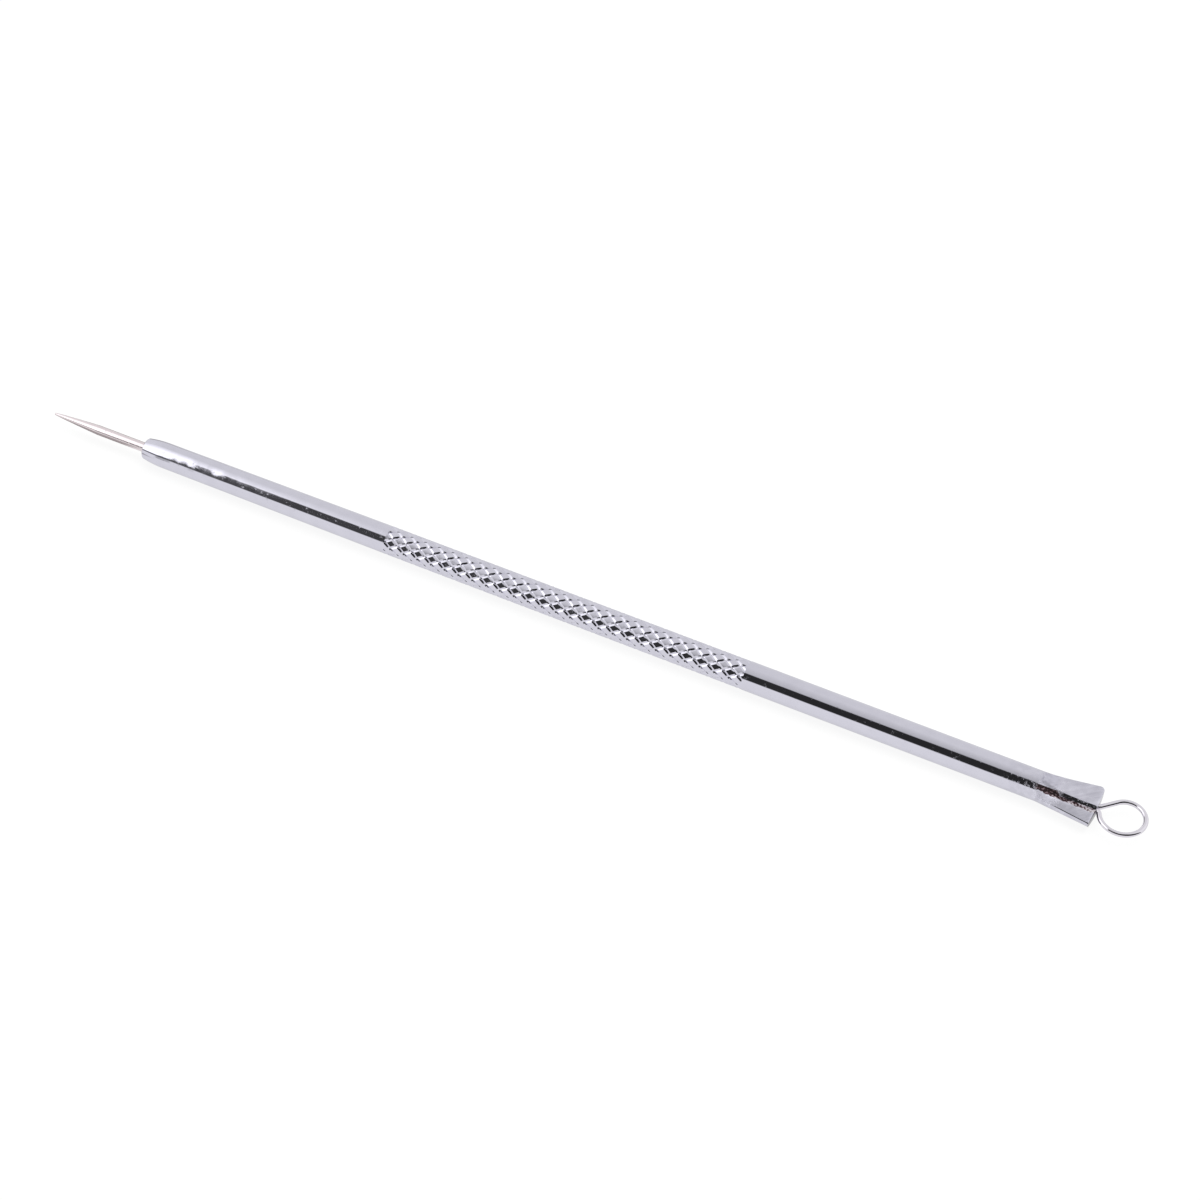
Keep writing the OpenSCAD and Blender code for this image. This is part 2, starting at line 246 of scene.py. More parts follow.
def build_knurl(bm):
    """Two families of crossing grooves, cut on a skewed lattice and trimmed at both ends."""
    # Places in a cell of the lattice lie closer together in its grooves and at a diamond's rim.
    rim = (1 - KNURL_LAND) / 2
    cell = [0, 0.04, rim - 0.02, rim, rim + 0.03, 0.35, 0.5, 0.65]
    cell += [1 - rim - 0.03, 1 - rim, 1 - rim + 0.02, 0.96]
    count = len(cell)
    around = KNURL_STARTS * count
    half_turn = pi / KNURL_STARTS
    rows_before = 2
    rows = ceil(KNURL_LENGTH / KNURL_PITCH) + rows_before + 1

    def place(index):
        return index // count + cell[index % count]

    found = {}

    def vert(a, b):
        lap = (a - b) // (2 * around)
        key = (a - lap * around, b + lap * around)
        if key not in found:
            p, q = place(key[0]), place(key[1])
            x = KNURL_X + (FIRST_DIAMOND - rows_before + (p + q) / 2) * KNURL_PITCH
            angle = KNURL_TURN + (p - q) * half_turn
            r = knurl_radius(p, q)
            found[key] = bm.verts.new(mm(x, r * cos(angle), r * sin(angle)))
        return found[key]

    for both in range(2 * rows * count):
        for apart in range(both % 2, 2 * around, 2):
            a, b = (both + apart) // 2, (both - apart) // 2
            bm.faces.new((vert(a, b), vert(a + 1, b), vert(a + 1, b + 1), vert(a, b + 1)))

    for x, outward in ((KNURL_X, -1), (KNURL_END_X, 1)):
        bmesh.ops.bisect_plane(
            bm,
            geom=bm.verts[:] + bm.edges[:] + bm.faces[:],
            plane_co=mm(x, 0, 0),
            plane_no=(outward, 0, 0),
            clear_outer=True,
        )
    rims = [e for e in bm.edges if e.is_boundary]
    grown = bmesh.ops.extrude_edge_only(bm, edges=rims)["geom"]
    inner = [v for v in grown if isinstance(v, bmesh.types.BMVert)]
    for v in inner:
        shrink = CORE_R / 1000 / hypot(v.co.y, v.co.z)
        v.co.y *= shrink
        v.co.z *= shrink
    bmesh.ops.holes_fill(bm, edges=[e for e in bm.edges if e.is_boundary])


# Sections of the crimp, as (across, rise) points in the frame that the press rolled.
TOP_COUNTS = (6, 10, 10, 5, 14, 6)
UNDER_COUNT = 72
UNDER_POWER = 0.85
RING_POWER = 1.5
CORNER_POWER = 4
EDGE_ANGLE = radians(77)
FAR_BITE = 4
NEAR_BITE = 9
GROOVE_LEAD = 3
SHALLOW_W = GROOVE_W * (1 - GROOVE_STEEP)
STEEP_W = GROOVE_W * GROOVE_STEEP
HALF_WIDTH = CRIMP_WIDTH / 2
NEAR_EDGE = CRIMP_SHIFT - HALF_WIDTH
FAR_EDGE = CRIMP_SHIFT + HALF_WIDTH


def top_across(near, far):
    """Positions across the pressed top from the near edge, with the groove's edges among them."""
    groove = [-GROOVE_SHIFT - SHALLOW_W, -GROOVE_SHIFT, -GROOVE_SHIFT + STEEP_W]
    stops = [near, near + EDGE_ROUND] + groove + [far - EDGE_ROUND, far]
    return [
        start + (end - start) * k / count
        for start, end, count in zip(stops, stops[1:], TOP_COUNTS)
        for k in range(count)
    ]


def groove_cut(w):
    """Depth of the groove, with a shallow wall on its near side and a steep one on its far side."""
    from_bottom = w + GROOVE_SHIFT
    wall = SHALLOW_W if from_bottom < 0 else STEEP_W
    return GROOVE_DEPTH * max(0, 1 - abs(from_bottom) / wall)


def round_section():
    """The plain rod, with as many points as the pressed section and in the same order."""
    half = HANDLE_R * sin(EDGE_ANGLE)
    angles = [asin(w / HANDLE_R) for w in top_across(-half, half)]
    angles += [
        EDGE_ANGLE + (2 * pi - 2 * EDGE_ANGLE) * k / UNDER_COUNT for k in range(UNDER_COUNT)
    ]
    return [(HANDLE_R * sin(a), HANDLE_R * cos(a)) for a in angles]


def rounding(into, length, drop):
    """Drop of a rounded edge at a distance into the length that it takes."""
    share = min(1, max(0, into / length))
    return drop * (1 - sqrt(1 - share**2))


def pressed_section():
    """The crowned top, from the near edge to the far one, and then the round underside."""
    top = []
    for w in top_across(NEAR_EDGE, FAR_EDGE):
        from_middle = abs(w - CRIMP_SHIFT)
        rise = CRIMP_TOP - (CRIMP_TOP - CRIMP_EDGE) * (from_middle / HALF_WIDTH) ** 2
        rise -= rounding(from_middle - HALF_WIDTH + EDGE_ROUND, EDGE_ROUND, EDGE_ROUND)
        top.append((w, rise))
    edge = CRIMP_EDGE - EDGE_ROUND
    under = []
    for k in range(UNDER_COUNT):
        a = pi * k / UNDER_COUNT
        across = copysign(HALF_WIDTH * abs(cos(a)) ** UNDER_POWER, cos(a))
        fall = (edge + CRIMP_UNDER) * sin(a) ** UNDER_POWER
        under.append((CRIMP_SHIFT + across, edge - fall))
    return top + under


def corner_cut(u, w):
    """How far the far corner is rounded off, u being the distance from the tail face."""
    return rounding(u + CORNER_R, CORNER_R, CORNER_R) * (max(0, w) / FAR_EDGE) ** CORNER_POWER


def crimp_section(t):
    """One ring of the crimp, t running from 0 at its start to 1 at the tail face."""
    u = (t - 1) * CRIMP_LENGTH
    groove = min(1, t * GROOVE_LEAD)
    tail_drop = rounding(u + TAIL_ROUND, TAIL_ROUND, TAIL_ROUND_DROP)
    points = []
    for k, (flat, arc) in enumerate(zip(pressed_section(), round_section())):
        across = arc[0] + (flat[0] - arc[0]) * t
        near = min(1, max(0, -across / HANDLE_R))
        press = 1 - (1 - t) ** (FAR_BITE + (NEAR_BITE - FAR_BITE) * near)
        rise = arc[1] + (flat[1] - arc[1]) * press
        across -= corner_cut(u, across)
        if k < sum(TOP_COUNTS):
            rise -= max(groove * groove_cut(across), tail_drop)
        setback = NEAR_SETBACK * t * max(0, -across) / HALF_WIDTH
        points.append(
            (
                TAIL_X + u - setback,
                across * cos(CRIMP_ROLL) - rise * sin(CRIMP_ROLL),
                across * sin(CRIMP_ROLL) + rise * cos(CRIMP_ROLL),
            )
        )
    return points


def slot_ring(x, points):
    """The mouth that the pressed tail leaves round the two legs, one point for each given point."""
    half_w = 2 * WIRE_R + 2 * SEAT_GAP
    half_h = WIRE_R + SEAT_GAP
    ring = []
    for _, y, z in points:
        a = atan2(z + WIRE_DROP, y)
        reach = 1 / max(abs(cos(a)) / half_w, abs(sin(a)) / half_h)
        ring.append((x, reach * cos(a), reach * sin(a) - WIRE_DROP))
    return ring


def build_rear(bm):
    """The plain shank, the crimp and the mouth for the legs of the wire."""
    plain = [
        (y * cos(CRIMP_ROLL) - z * sin(CRIMP_ROLL), y * sin(CRIMP_ROLL) + z * cos(CRIMP_ROLL))
        for y, z in round_section()
    ]
    inner = CORE_R / HANDLE_R
    sections = [
        [(KNURL_END_X + CORE_REACH, y * inner, z * inner) for y, z in plain],
        [(KNURL_END_X - CORE_OVERLAP, y * inner, z * inner) for y, z in plain],
        [(KNURL_END_X, y, z) for y, z in plain],
    ]
    # Rings lie closer together where the press bites and where the corner is rounded.
    corner = CORNER_R / CRIMP_LENGTH
    sections += [crimp_section((1 - corner) * t**RING_POWER) for t in steps(48)]
    sections += [crimp_section(1 - corner * (1 - sin(t * pi / 2))) for t in steps(10)[1:]]
    sections.append(slot_ring(TAIL_X, sections[-1]))
    sections.append(slot_ring(TAIL_X - SLOT_REACH, sections[-2]))
    loft(bm, sections)


def build_handle(material):
    bm = bmesh.new()
    build_front(bm)
    grip = bmesh.new()
    build_knurl(grip)
    mesh = bpy.data.meshes.new("grip")
    grip.to_mesh(mesh)
    grip.free()
    bm.from_mesh(mesh)
    bpy.data.meshes.remove(mesh)
    build_rear(bm)
    close_mesh(bm, "handle_polished", material, "handle", KNURL_SHARP_ANGLE)


def build_needle(material):
    bm = bmesh.new()
    seat_x = NOSE_X + NEEDLE_SEAT
    shank = [
        (seat_x, AXIS_R),
        (seat_x, NEEDLE_R),
        (NOSE_X + NECK_IN, NEEDLE_R),
        (NOSE_X + (NECK_IN - NECK_OUT) / 2, NEEDLE_R - NECK_DEPTH),
        (NOSE_X - NECK_OUT, NEEDLE_R),
        (NOSE_X - NECK_OUT - NECK_SHOULDER, NEEDLE_R),
    ]
    point_x = TIP_X + NEEDLE_POINT
    point = [
        (
            point_x - (NEEDLE_POINT - NEEDLE_TIP_R) * t,
            NEEDLE_TIP_R + (NEEDLE_R - NEEDLE_TIP_R) * (1 - t) ** POINT_POWER,
        )
        for t in steps(24)
    ]
    tip = [
        (TIP_X + NEEDLE_TIP_R * (1 - sin(t * pi / 2)), NEEDLE_TIP_R * cos(t * pi / 2))
        for t in steps(6)[1:-1]
    ]
    lathe(bm, shank + point + tip)
    close_mesh(bm, "needle_ground", material, "needle")


def loop_path():
    """Centre line of the wire as (x, y, heading), from the far leg round to the near one.

    The far leg runs straight into the round, and the near leg bows into it.
    """
    leg_v = WIRE_R + SEAT_GAP
    centre = Vector((LOOP_OUT - WIRE_R - LOOP_R, LOOP_SHIFT))
    bend_y = leg_v + LEG_BEND_R

    def leg_and_bend(angle):
        turns = [angle * t for t in steps(14)]
        return [(-LEG_SEAT, leg_v, 0)] + [
            (LEG_BEND_R * sin(a), bend_y - LEG_BEND_R * cos(a), a) for a in turns
        ]

    def arc(middle, r, start, end, count):
        turns = [start + (end - start) * t for t in steps(count)]
        return [(middle.x + r * cos(a), middle.y + r * sin(a), a - pi / 2) for a in turns]

    rise = bend_y - centre.y
    far_angle = asin((LOOP_R + LEG_BEND_R) / hypot(centre.x, rise)) - atan2(rise, centre.x)
    # The near side is worked out as if it were the far one, and turned over at the end.
    near = leg_and_bend(NEAR_LEG_ANGLE)
    near_start = Vector(near[-1][:2])
    near_centre = Vector((centre.x, -centre.y))
    inward = Vector((sin(NEAR_LEG_ANGLE), -cos(NEAR_LEG_ANGLE)))
    to_centre = near_centre - near_start
    bow_r = (to_centre.dot(to_centre) - LOOP_R**2) / (2 * (to_centre.dot(inward) - LOOP_R))
    bow_centre = near_start + bow_r * inward
    meeting = atan2(near_centre.y - bow_centre.y, near_centre.x - bow_centre.x)

    far = leg_and_bend(far_angle)
    round_part = arc(centre, LOOP_R, pi / 2 + far_angle, -meeting, 72)
    near += arc(bow_centre, bow_r, pi / 2 + NEAR_LEG_ANGLE, meeting, 40)[1:-1]
    back = [(x, -y, -pi - heading) for x, y, heading in reversed(near)]
    return far + round_part + back


def build_wire_loop(material):
    bm = bmesh.new()
    sections = []
    for x, y, heading in loop_path():
        points = []
        for k in range(WIRE_SIDES):
            a = 2 * pi * k / WIRE_SIDES
            out = WIRE_R * cos(a)
            points.append(
                (
                    TAIL_X + x - out * sin(heading),
                    y + out * cos(heading),
                    WIRE_R * sin(a) - WIRE_DROP,
                )
            )
        sections.append(points)
    loft(bm, sections)
    close_mesh(bm, "wire_loop_sprung", material, "wire_loop")


# Materials
def empty_tree(owner):
    owner.use_nodes = True
    owner.node_tree.nodes.clear()
    return owner.node_tree


def add_node(tree, kind, inputs=None, **settings):
    node = tree.nodes.new(kind)
    for name, value in settings.items():
        setattr(node, name, value)
    for key, value in (inputs or {}).items():
        if isinstance(value, bpy.types.NodeSocket):
            tree.links.new(value, node.inputs[key])
        else:
            node.inputs[key].default_value = value
    return node


def split(tree, vector):
    return add_node(tree, "ShaderNodeSeparateXYZ", {"Vector": vector}).outputs


def ramp(tree, factor, stops):
    node = add_node(tree, "ShaderNodeValToRGB", {"Fac": factor})
    entries = node.color_ramp.elements
    while len(entries) < len(stops):
        entries.new(0.5)
    for entry, (position, colour) in zip(entries, stops):
        entry.position = position
        entry.color = (*colour, 1)
    return node.outputs["Color"]


def calc(tree, operation, *values):
    node = add_node(tree, "ShaderNodeMath", dict(enumerate(values)), operation=operation)
    return node.outputs["Value"]


def product(tree, *values):
    result = values[0]
    for value in values[1:]:
        result = calc(tree, "MULTIPLY", result, value)
    return result


def total(tree, *values):
    result = values[0]
    for value in values[1:]:
        result = calc(tree, "ADD", result, value)
    return result


def remap(tree, value, from_min, from_max, to_min=0.0, to_max=1.0):
    inputs = {"Value": value, "From Min": from_min, "From Max": from_max}
    inputs.update({"To Min": to_min, "To Max": to_max})
    return add_node(tree, "ShaderNodeMapRange", inputs).outputs["Result"]


def noise(tree, vector, scale, detail=4.0):
    inputs = {"Vector": vector, "Scale": scale, "Detail": detail}
    return add_node(tree, "ShaderNodeTexNoise", inputs).outputs["Fac"]


def brushed(tree, place, turn, scales):
    """Noise drawn out into fine lines, turned about Z, with its scales along and across them."""
    along, across = scales
    inputs = {
        "Vector": place,
        "Rotation": (0, 0, turn),
        "Scale": (1 / along, 1 / across, 1 / across),
    }
    turned = add_node(tree, "ShaderNodeMapping", inputs, vector_type="TEXTURE")
    return noise(tree, turned.outputs["Vector"], 1.0, 6.0)


def mix(tree, share, first, second):
    node = add_node(tree, "ShaderNodeMixRGB", {"Fac": share, "Color1": first, "Color2": second})
    return node.outputs["Color"]


def mix_shaders(tree, share, first, second):
    node = add_node(tree, "ShaderNodeMixShader", {"Fac": share, 1: first, 2: second})
    return node.outputs["Shader"]


# Marks on the metal. Noise scales are told per metre, and a higher one is finer.
CLOUD_NOISE = 700
CLOUD_SPAN = (0.3, 0.7)
SCRATCH_NOISE = (220, 2600)
SCRATCH_SPAN = (0.35, 0.75)
SCRATCH_SHEEN = (0.7, 1.8)
FLECK_NOISE = 2400
FLECK_SPAN = (0.6, 0.7)
FLECK_SHEEN = 3
MOTTLE_NOISE = 1500
MOTTLE_SPAN = (0.4, 0.6, 0.0, 0.14)
HATCH_NOISE = (260, 4200)
HATCH_TURN = radians(38)
HATCH_SPAN = (0.38, 0.62, 0.0, 0.2)
GRAIN_NOISE = 5200
WORN_NOISE = 3400
WORN_SPAN = (0.56, 0.62)
WOBBLE_NOISE = 1900
WOBBLE_SPAN = (0.2, 0.8, -0.12, 0.12)
DENT_NOISE = 520
DARKER = (0.04, 0.04, 0.04)
SHADE = (0.3, 0.29, 0.36, 1)
# Painted shade: near-black paint on the near part of the tail's end face, standing for the shadow
# along the near lobe's tail edge, and how much of it is laid on
END_FACE_SHADE_PAINT = (0.08, 0.07, 0.09, 1)
END_FACE_SHADE_SHARE = 0.8
TORN_PAINT = [
    (0.42, (0.025, 0.016, 0.018)),
    (0.52, (0.12, 0.07, 0.08)),
    (0.6, (0.35, 0.27, 0.3)),
    (0.68, (0.9, 0.86, 0.9)),
]
# Roughness that a mark adds, and its height in the relief, where a scratch has 1
TORN_SHEEN = 0.35
WORN_SHEEN = 0.35
RUBBED_SHEEN = 0.5
DENT_HEIGHT = 40.0
HATCH_HEIGHT = 2.0
TORN_HEIGHT = 9.0
WORN_HEIGHT = 6.0
RELIEF = 0.25
# How metallic the near side is left where it is rubbed most
RUBBED_METALLIC = 0.5
# How far the end face turns towards +X, from where its near part begins to take painted shade
END_FACING = (0.6, 0.8)

# Where the marks lie on the handle, in millimetres. A mark grows from nothing at its first place
# to full at its second, or from the third value to the fourth where there are four.
# The shares of Y and Z in a place across the tool, square to the photograph's line of sight
SIGHT_Y = 0.794
SIGHT_Z = 0.607
TOP_BLUR = 0.1
DENTED_START = (NOSE_X + 1.5, NOSE_X + 3.0)
DENTED_END = (NOSE_X + 14.0, NOSE_X + 8.0)
MOTTLED = (CRIMP_X - 5.0, CRIMP_X - 2.0)
PRESSED = (CRIMP_X - 0.2, CRIMP_X + 0.2)
TORN_START = (CRIMP_X - 0.4, CRIMP_X - 0.1)
TORN_FAR_EDGE = (CRIMP_X + 1.7, CRIMP_X + 2.1, 0.22, -0.16)
TORN_NEAR_EDGE = (CRIMP_X, CRIMP_X + 1.8, -0.4, -0.56)
TORN_BLUR = 0.04
TORN_RAGGED = 4.0
LIGHTER_ALONG = (CRIMP_X + 1.0, TAIL_X - 0.5, -0.07, 0.12)
LIGHTER_ACROSS = (0.1, -0.4, -0.04, 0.03)
WORN_MIDDLE = -0.1
WORN_ALONG = (CRIMP_X - 4.5, CRIMP_X - 0.5)
WORN_ACROSS = (0.45, 0.3)
RUBBED_START = (CRIMP_X - 0.3, CRIMP_X + 0.1)
RUBBED_END = (CRIMP_X + 2.4, CRIMP_X + 1.2)
RUBBED_ACROSS = (-1.6, -1.3)
NEAR_SIDE = (0.6, 0.0)
# Across the tool, the end face's painted shade grows from nothing at the first place to full at the
# second
END_FACE_SHADE_ACROSS = (0.0, -0.3)


def handle_masks(tree, place):
    """Where the rod is dented, mottled, pressed, torn, worn and rubbed, and where painted shade
    darkens the end face.

    Lighter is how much lighter the paint of the torn strip is.
    """
    parts = split(tree, place)
    along = product(tree, parts["X"], 1000.0)
    across = total(
        tree,
        product(tree, parts["Y"], 1000 * SIGHT_Y),
        product(tree, parts["Z"], 1000 * SIGHT_Z),
    )
    on_top = remap(tree, parts["Z"], 0.0, TOP_BLUR / 1000)
    wobble = remap(tree, noise(tree, place, WOBBLE_NOISE, 5.0), *WOBBLE_SPAN)
    pressed = remap(tree, along, *PRESSED)

    # The torn strip first takes up the whole dark band, and then the groove's shallow wall.
    far_edge = remap(tree, along, *TORN_FAR_EDGE)
    near_edge = remap(tree, along, *TORN_NEAR_EDGE)
    past_near = calc(tree, "SUBTRACT", total(tree, across, wobble), near_edge)
    past_near = remap(tree, past_near, 0.0, TORN_BLUR)
    before_far = remap(tree, calc(tree, "SUBTRACT", far_edge, across), 0.0, TORN_BLUR)
    ragged = total(tree, along, product(tree, wobble, TORN_RAGGED))
    started = remap(tree, ragged, *TORN_START)

    from_middle = calc(tree, "ABSOLUTE", total(tree, across, -WORN_MIDDLE))
    rubbed = product(
        tree,
        remap(tree, along, *RUBBED_START),
        remap(tree, along, *RUBBED_END),
        remap(tree, across, *RUBBED_ACROSS),
        on_top,
    )
    facing = split(tree, add_node(tree, "ShaderNodeTexCoord").outputs["Normal"])["X"]
    return {
        "dented": product(
            tree, remap(tree, along, *DENTED_START), remap(tree, along, *DENTED_END)
        ),
        "mottled": remap(tree, along, *MOTTLED),
        "pressed": pressed,
        "torn": product(tree, past_near, before_far, started, on_top),
        "lighter": total(
            tree, remap(tree, along, *LIGHTER_ALONG), remap(tree, across, *LIGHTER_ACROSS)
        ),
        "worn": product(
            tree,
            remap(tree, along, *WORN_ALONG),
            remap(tree, from_middle, *WORN_ACROSS),
            remap(tree, noise(tree, place, WORN_NOISE, 2.0), *WORN_SPAN),
            on_top,
        ),
        "rubbed": rubbed,
        "rubbed_near": product(tree, rubbed, remap(tree, across, *NEAR_SIDE)),
        # Painted shade: the near part of the pressed end face, where it turns towards +X
        "end_face_shade": product(
            tree,
            remap(tree, facing, *END_FACING),
            pressed,
            remap(tree, across, *END_FACE_SHADE_ACROSS),
        ),
    }


def metal(name, colour, roughness, scratch_depth, worked=False):
    """Bright metal with soft clouds, hairline scratches along the tool and small flecks.

    The scratch depth is in millimetres. Worked metal has the marks of the nose and the crimp too.
    """
    material = bpy.data.materials.new(name)
    tree = empty_tree(material)
    place = add_node(tree, "ShaderNodeTexCoord").outputs["Object"]
    darker = tuple(c - d for c, d in zip(colour, DARKER))
    paint = ramp(tree, noise(tree, place, CLOUD_NOISE), list(zip(CLOUD_SPAN, (darker, colour))))
    scratches = brushed(tree, place, 0.0, SCRATCH_NOISE)
    flecks = noise(tree, place, FLECK_NOISE, 3.0)
    flecks = remap(tree, flecks, *FLECK_SPAN, 0.0, roughness * FLECK_SHEEN)
    sheen = remap(tree, scratches, *SCRATCH_SPAN, *(roughness * s for s in SCRATCH_SHEEN))
    sheen = total(tree, sheen, flecks)
    height = scratches
    metallic = 1.0
    if worked:
        masks = handle_masks(tree, place)
        hatch = brushed(tree, place, HATCH_TURN, HATCH_NOISE)
        mottle = remap(tree, noise(tree, place, MOTTLE_NOISE, 5.0), *MOTTLE_SPAN)
        grain = noise(tree, place, GRAIN_NOISE, 6.0)
        torn_paint = ramp(tree, total(tree, grain, masks["lighter"]), TORN_PAINT)
        layers = [
            (product(tree, mottle, masks["mottled"]), SHADE),
            (product(tree, remap(tree, hatch, *HATCH_SPAN), masks["pressed"]), SHADE),
            (masks["torn"], torn_paint),
            # Painted shade on the near part of the end face
            (product(tree, masks["end_face_shade"], END_FACE_SHADE_SHARE), END_FACE_SHADE_PAINT),
        ]
        for share, over in layers:
            paint = mix(tree, share, paint, over)
        sheen = total(
            tree,
            sheen,
            product(tree, masks["torn"], TORN_SHEEN),
            product(tree, masks["worn"], WORN_SHEEN),
            product(tree, masks["rubbed"], RUBBED_SHEEN),
        )
        height = total(
            tree,
            scratches,
            product(tree, noise(tree, place, DENT_NOISE, 1.0), masks["dented"], DENT_HEIGHT),
            product(tree, hatch, masks["pressed"], HATCH_HEIGHT),
            product(tree, grain, masks["torn"], TORN_HEIGHT),
            product(tree, masks["worn"], WORN_HEIGHT),
        )
        metallic = remap(tree, masks["rubbed_near"], 0.0, 1.0, 1.0, RUBBED_METALLIC)
    relief = add_node(
        tree,
        "ShaderNodeBump",
        {"Height": height, "Strength": RELIEF, "Distance": scratch_depth / 1000},
    ).outputs["Normal"]
    shader = add_node(
        tree,
        "ShaderNodeBsdfPrincipled",
        {"Base Color": paint, "Roughness": sheen, "Normal": relief, "Metallic": metallic},
    )
    add_node(tree, "ShaderNodeOutputMaterial", {"Surface": shader.outputs["BSDF"]})
    return material


# Studio: a pale room with one dark card above and behind the camera. Directions are told by
# their angle about the tool, 0 level on the far side and 180 level on the near side, and by
# their slant, which is the cosine of their angle with the tool. Each list goes by slant.
WHITE = (1, 1, 1, 1)
SLANTS = (-0.8, 0.8)
FULL_ANGLE = 180.0
FULL_LEVEL = 2.0
ROOM_LEVEL = [(-0.62, 0.8), (-0.5, 0.73), (-0.2, 0.72), (0.1, 0.76), (0.6, 0.88)]
# Between these angles the room turns to the level of its rim, next to the card.
RIM_FROM = 62.0
RIM_TO = 104.0
RIM_LEVEL = [
    (-0.6, 1.4), (-0.455, 1.5), (-0.44, 1.2), (-0.42, 0.92), (-0.36, 0.77), (-0.21, 0.58),
    (-0.12, 0.52), (0.1, 0.62), (0.6, 0.8),
]
DARK_FROM = [
    (-0.52, 150), (-0.47, 146), (-0.459, 142), (-0.45, 135), (-0.44, 121), (-0.43, 111),
    (-0.38, 110), (-0.34, 113), (-0.16, 113), (-0.13, 110), (0.08, 110), (0.22, 92),
]
DARK_TO = 162
DARK_LEVEL = [(-0.45, 0.12), (-0.42, 0.06), (-0.2, 0.024)]
CARD_BLUR = 2.5
# The wall between the card and the floor
NEAR_WALL_LEVEL = [(-0.56, 0.82), (-0.52, 0.45), (-0.47, 0.45), (-0.458, 0.82)]
# The far side of the room is dark on the left near the floor.
LEFT_DARK = 0.1
LEFT_SLOPE = 1.8
LEFT_LIMIT = -1.12
LEFT_BLUR = 0.05
LEFT_ACROSS = (0.05, 0.2)


def studio_world():
    world = bpy.data.worlds.new("studio")
    scene.world = world
    tree = empty_tree(world)
    parts = split(tree, add_node(tree, "ShaderNodeTexCoord").outputs["Generated"])
    around = calc(tree, "ARCTAN2", parts["Z"], parts["Y"])
    around = remap(tree, around, 0.0, pi, 0.0, FULL_ANGLE)
    slant = remap(tree, parts["X"], *SLANTS)

    def by_slant(stops, full=FULL_LEVEL):
        start, end = SLANTS
        entries = [((x - start) / (end - start), (level / full,) * 3) for x, level in stops]
        return product(tree, ramp(tree, slant, entries), full)

    dark_from = by_slant(DARK_FROM, FULL_ANGLE)
    card_start = calc(tree, "SUBTRACT", dark_from, CARD_BLUR)
    in_card = remap(tree, around, card_start, total(tree, dark_from, CARD_BLUR))
    past_card = remap(tree, around, DARK_TO - CARD_BLUR, DARK_TO + CARD_BLUR)
    rim = remap(tree, around, RIM_FROM, RIM_TO)
    room = mix(tree, rim, by_slant(ROOM_LEVEL), by_slant(RIM_LEVEL))
    room = mix(tree, in_card, room, by_slant(DARK_LEVEL))
    room = mix(tree, past_card, room, by_slant(NEAR_WALL_LEVEL))
    low_left = total(tree, parts["Z"], product(tree, parts["X"], LEFT_SLOPE))
    low_left = remap(tree, low_left, LEFT_LIMIT + LEFT_BLUR, LEFT_LIMIT - LEFT_BLUR)
    low_left = product(tree, low_left, remap(tree, parts["Y"], *LEFT_ACROSS))
    room = mix(tree, low_left, room, (LEFT_DARK,) * 3 + (1,))
    studio = add_node(tree, "ShaderNodeBackground", {"Color": room, "Strength": 1.0})
    white = add_node(tree, "ShaderNodeBackground", {"Color": WHITE, "Strength": 1.0})
    both = mix_shaders(
        tree,
        add_node(tree, "ShaderNodeLightPath").outputs["Is Camera Ray"],
        studio.outputs["Background"],
        white.outputs["Background"],
    )
    add_node(tree, "ShaderNodeOutputWorld", {"Surface": both})


# Floor. The metal sees it pale grey, lighter on the near side, with a darker card under the
# needle, whose edges are told in metres.
FLOOR_REACH = 3.0
FLOOR_PAPER = (0.9, 0.9, 0.9, 1)
FLOOR_FAR = (0.66, 0.66, 0.66, 1)
FLOOR_NEAR = (0.75, 0.75, 0.75, 1)
FLOOR_ACROSS = (0.001, -0.001)
CARD_PAINT = (0.27, 0.25, 0.25, 1)
CARD_NOSE_EDGE = (-0.0515, -0.0535)
CARD_TIP_EDGE = (-0.066, -0.06)
CARD_NEAR_EDGE = (-0.009, -0.006)
FLOOR_GLOW = 0.9


def floor_material():
    """Pale floor that camera and metal see as white, and that still takes a soft shadow."""
    material = bpy.data.materials.new("floor_paper")
    tree = empty_tree(material)
    matte = add_node(tree, "ShaderNodeBsdfDiffuse", {"Color": FLOOR_PAPER})
    rays = add_node(tree, "ShaderNodeLightPath").outputs
    parts = split(tree, add_node(tree, "ShaderNodeTexCoord").outputs["Object"])
    card = product(
        tree,
        remap(tree, parts["X"], *CARD_NOSE_EDGE),
        remap(tree, parts["X"], *CARD_TIP_EDGE),
        remap(tree, parts["Y"], *CARD_NEAR_EDGE),
    )
    mirrored = mix(tree, remap(tree, parts["Y"], *FLOOR_ACROSS), FLOOR_FAR, FLOOR_NEAR)
    mirrored = mix(tree, card, mirrored, CARD_PAINT)
    colour = mix(tree, rays["Is Camera Ray"], mirrored, WHITE)
    glow = add_node(tree, "ShaderNodeEmission", {"Color": colour, "Strength": 1.0})
    seen = calc(tree, "MAXIMUM", rays["Is Camera Ray"], rays["Is Glossy Ray"])
    both = mix_shaders(
        tree, product(tree, seen, FLOOR_GLOW), matte.outputs["BSDF"], glow.outputs["Emission"]
    )
    add_node(tree, "ShaderNodeOutputMaterial", {"Surface": both})
    return material


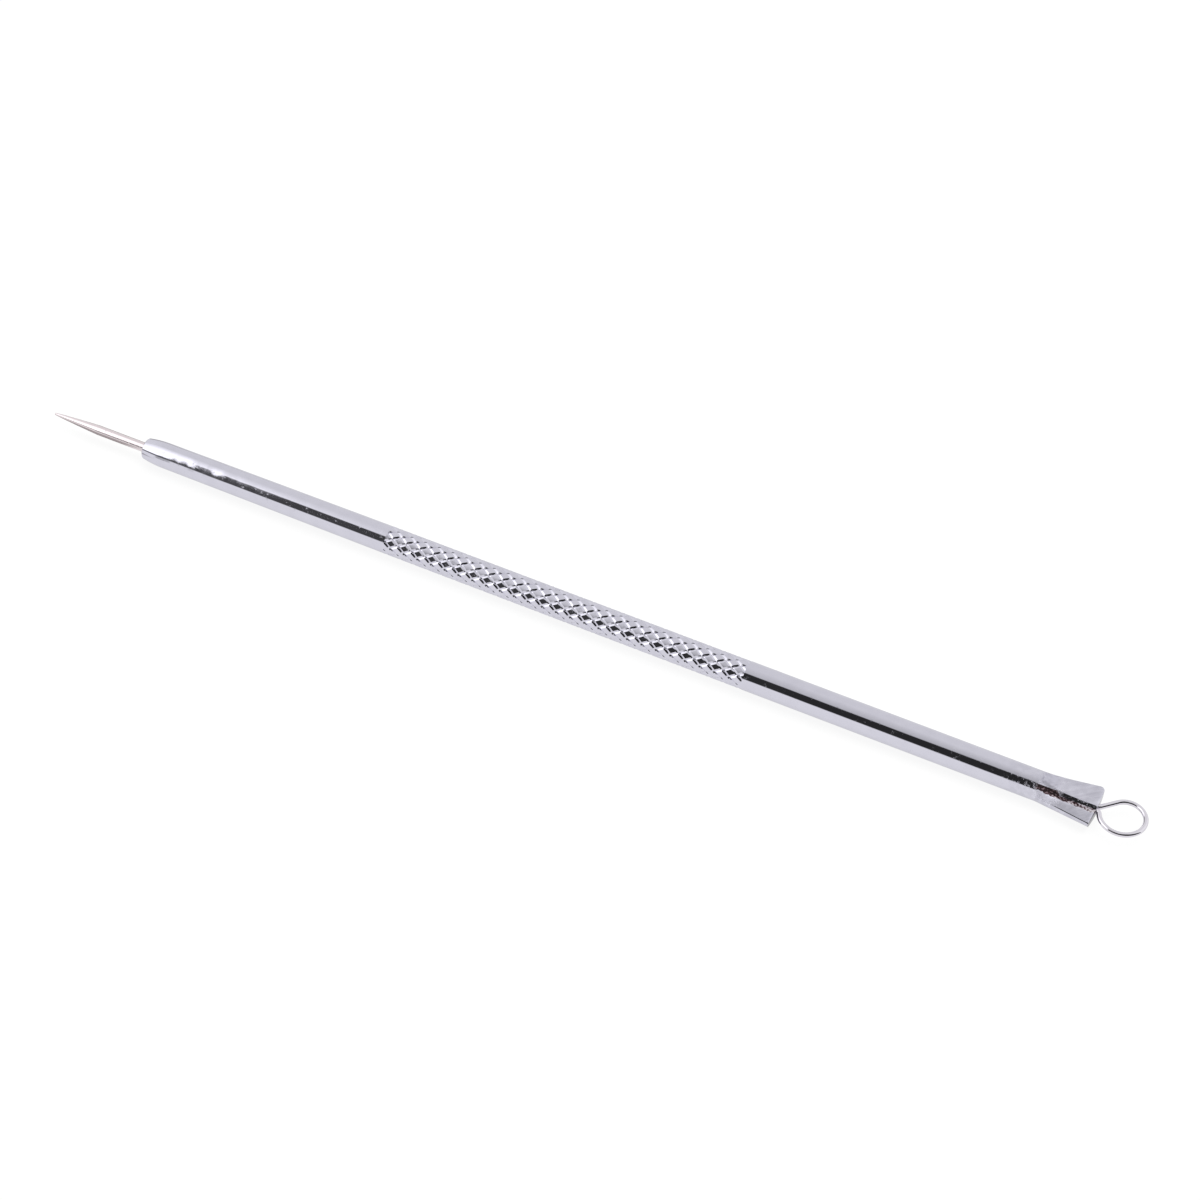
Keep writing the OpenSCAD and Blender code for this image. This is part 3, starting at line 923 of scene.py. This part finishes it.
def build_floor():
    lowest = cad_box[0][2]
    corners = [(-1, -1), (1, -1), (1, 1), (-1, 1)]
    bm = bmesh.new()
    bm.faces.new([bm.verts.new((x * FLOOR_REACH, y * FLOOR_REACH, lowest)) for x, y in corners])
    mesh = bpy.data.meshes.new("floor")
    bm.to_mesh(mesh)
    bm.free()
    mesh.materials.append(floor_material())
    add_object("floor", mesh)


# Lamp: a large soft disk over the tool that the metal doesn't mirror, aimed at the origin. Its
# place and size are in metres and its power in watts.
LAMP_PLACE = Vector((0.1, 0.15, 0.6))
LAMP_SIZE = 0.7
LAMP_POWER = 5.0


def add_lamp():
    data = bpy.data.lights.new("overhead", "AREA")
    data.shape = "DISK"
    data.size = LAMP_SIZE
    data.energy = LAMP_POWER
    lamp = add_object("overhead", data)
    lamp.location = LAMP_PLACE
    lamp.rotation_mode = "QUATERNION"
    lamp.rotation_quaternion = LAMP_PLACE.to_track_quat("Z", "Y")
    lamp.visible_glossy = False


# Camera: the angle, distance and framing of the photograph.
AZIMUTH = radians(26.29)
ELEVATION = radians(49.57)
DISTANCE = 260
LENS = 77.65
SENSOR = 36
NEAREST = 0.01
AIM_RIGHT = 2.617
AIM_UP = 1.005
AIM_X = 1.1


def add_camera():
    back = Vector(
        (sin(AZIMUTH) * cos(ELEVATION), -cos(AZIMUTH) * cos(ELEVATION), sin(ELEVATION))
    )
    right = Vector((cos(AZIMUTH), sin(AZIMUTH), 0))
    up = back.cross(right)
    data = bpy.data.cameras.new("camera")
    data.lens = LENS
    data.sensor_width = SENSOR
    data.sensor_height = SENSOR
    data.clip_start = NEAREST
    camera = add_object("camera", data)
    turn = Matrix((right, up, back)).transposed()
    place = (back * DISTANCE + right * AIM_RIGHT + up * AIM_UP + Vector((AIM_X, 0, 0))) / 1000
    camera.matrix_world = Matrix.Translation(place) @ turn.to_4x4()
    scene.camera = camera


build_handle(metal("chrome_polished", (0.8, 0.79, 0.89), 0.06, 0.004, worked=True))
build_needle(metal("steel_ground", (0.96, 0.87, 0.895), 0.11, 0.0012))
build_wire_loop(metal("chrome_wire", (0.9, 0.87, 0.94), 0.02, 0.001))
build_floor()
studio_world()
add_lamp()
add_camera()
scene.view_settings.view_transform = "Standard"
